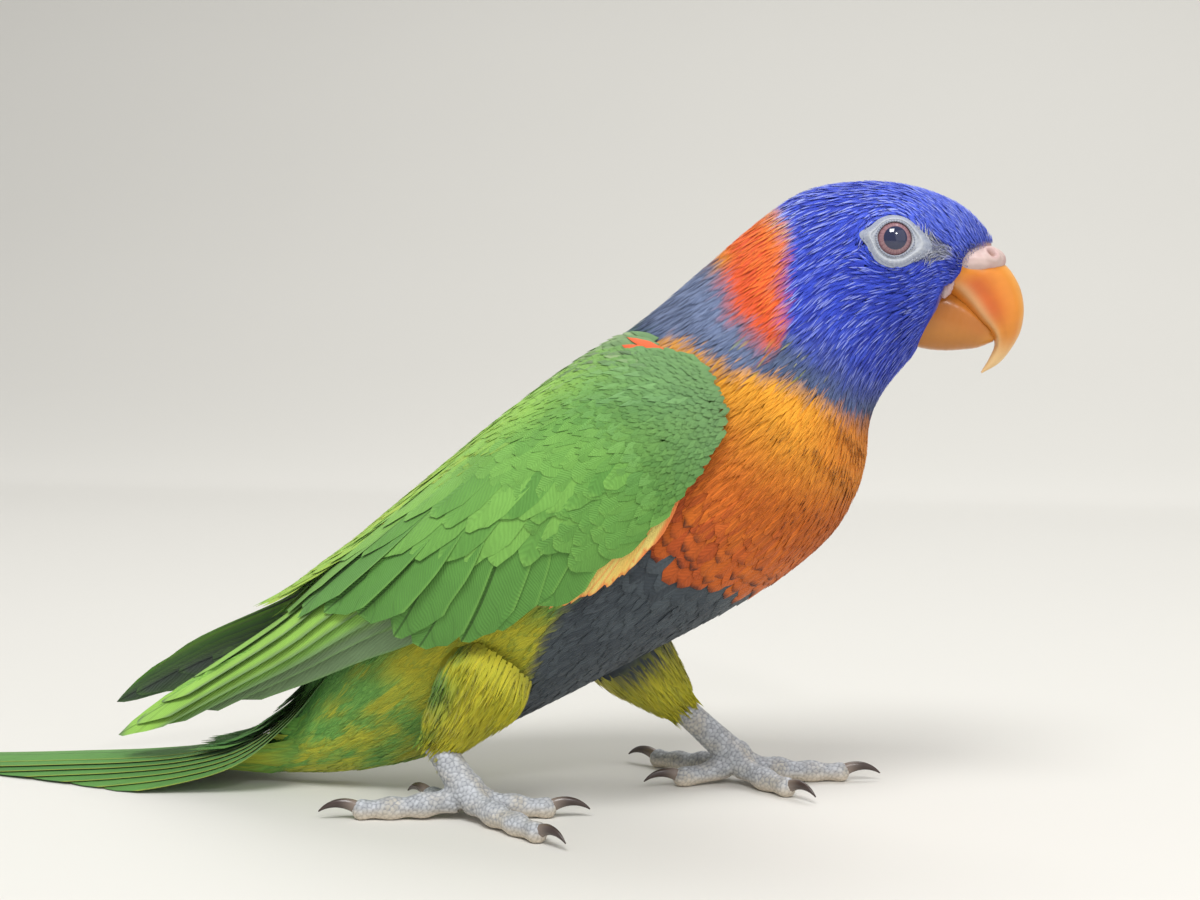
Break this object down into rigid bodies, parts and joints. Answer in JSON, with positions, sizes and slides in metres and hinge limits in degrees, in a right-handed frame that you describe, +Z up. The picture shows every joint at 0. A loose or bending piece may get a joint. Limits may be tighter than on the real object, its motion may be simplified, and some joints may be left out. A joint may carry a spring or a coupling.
{
  "type": "rainbow lorikeet",
  "caption": "Life-size standing rainbow lorikeet of the red-collared form: blue head, orange breast, green closed wings, hooked orange bill and a long tail laid on the floor.",
  "frame": {"origin": "on the floor, below the middle of the whole bird's outer box", "axes": "+X towards the bill, +Y to the bird's left side, +Z up"},
  "size_m": [0.2534, 0.0776, 0.1308],
  "materials": {
    "head_feathers": "soft violet-blue feathers with paler shaft streaks",
    "collar_feathers": "soft orange-red and yellow feathers",
    "body_feathers": "soft feathers, orange on the breast and blackish blue below",
    "rump_feathers": "soft green and yellow feathers",
    "wing_feathers": "smooth satin green feathers",
    "tail_feathers": "smooth satin feathers, green above and olive yellow below",
    "thigh_feathers": "loose yellow-green feathers",
    "bill": "satin horn, orange with a paler tip",
    "cere": "matte bare flesh",
    "bare_skin": "matte grey bare skin",
    "eye": "wet gloss",
    "foot_skin": "grey scales with cream soles",
    "claw": "dark satin horn"
  },
  "bodies": {
    "root": {"bill_lower": "bill", "bill_upper": "bill", "cere": "cere", "claw_left_inner_back": "claw", "claw_left_inner_front": "claw", "claw_left_outer_back": "claw", "claw_left_outer_front": "claw", "claw_right_inner_back": "claw", "claw_right_inner_front": "claw", "claw_right_outer_back": "claw", "claw_right_outer_front": "claw", "eye_left": "eye", "eye_right": "eye", "head": "head_feathers", "lids_left": "bare_skin", "lids_right": "bare_skin", "neck": "collar_feathers", "rump": "rump_feathers", "shank_left": "foot_skin", "shank_right": "foot_skin", "tail": "tail_feathers", "thigh_left": "thigh_feathers", "thigh_right": "thigh_feathers", "toe_left_inner_back": "foot_skin", "toe_left_inner_front": "foot_skin", "toe_left_outer_back": "foot_skin", "toe_left_outer_front": "foot_skin", "toe_right_inner_back": "foot_skin", "toe_right_inner_front": "foot_skin", "toe_right_outer_back": "foot_skin", "toe_right_outer_front": "foot_skin", "torso": "body_feathers", "wing_left": "wing_feathers", "wing_right": "wing_feathers"}
  },
  "joints": []
}
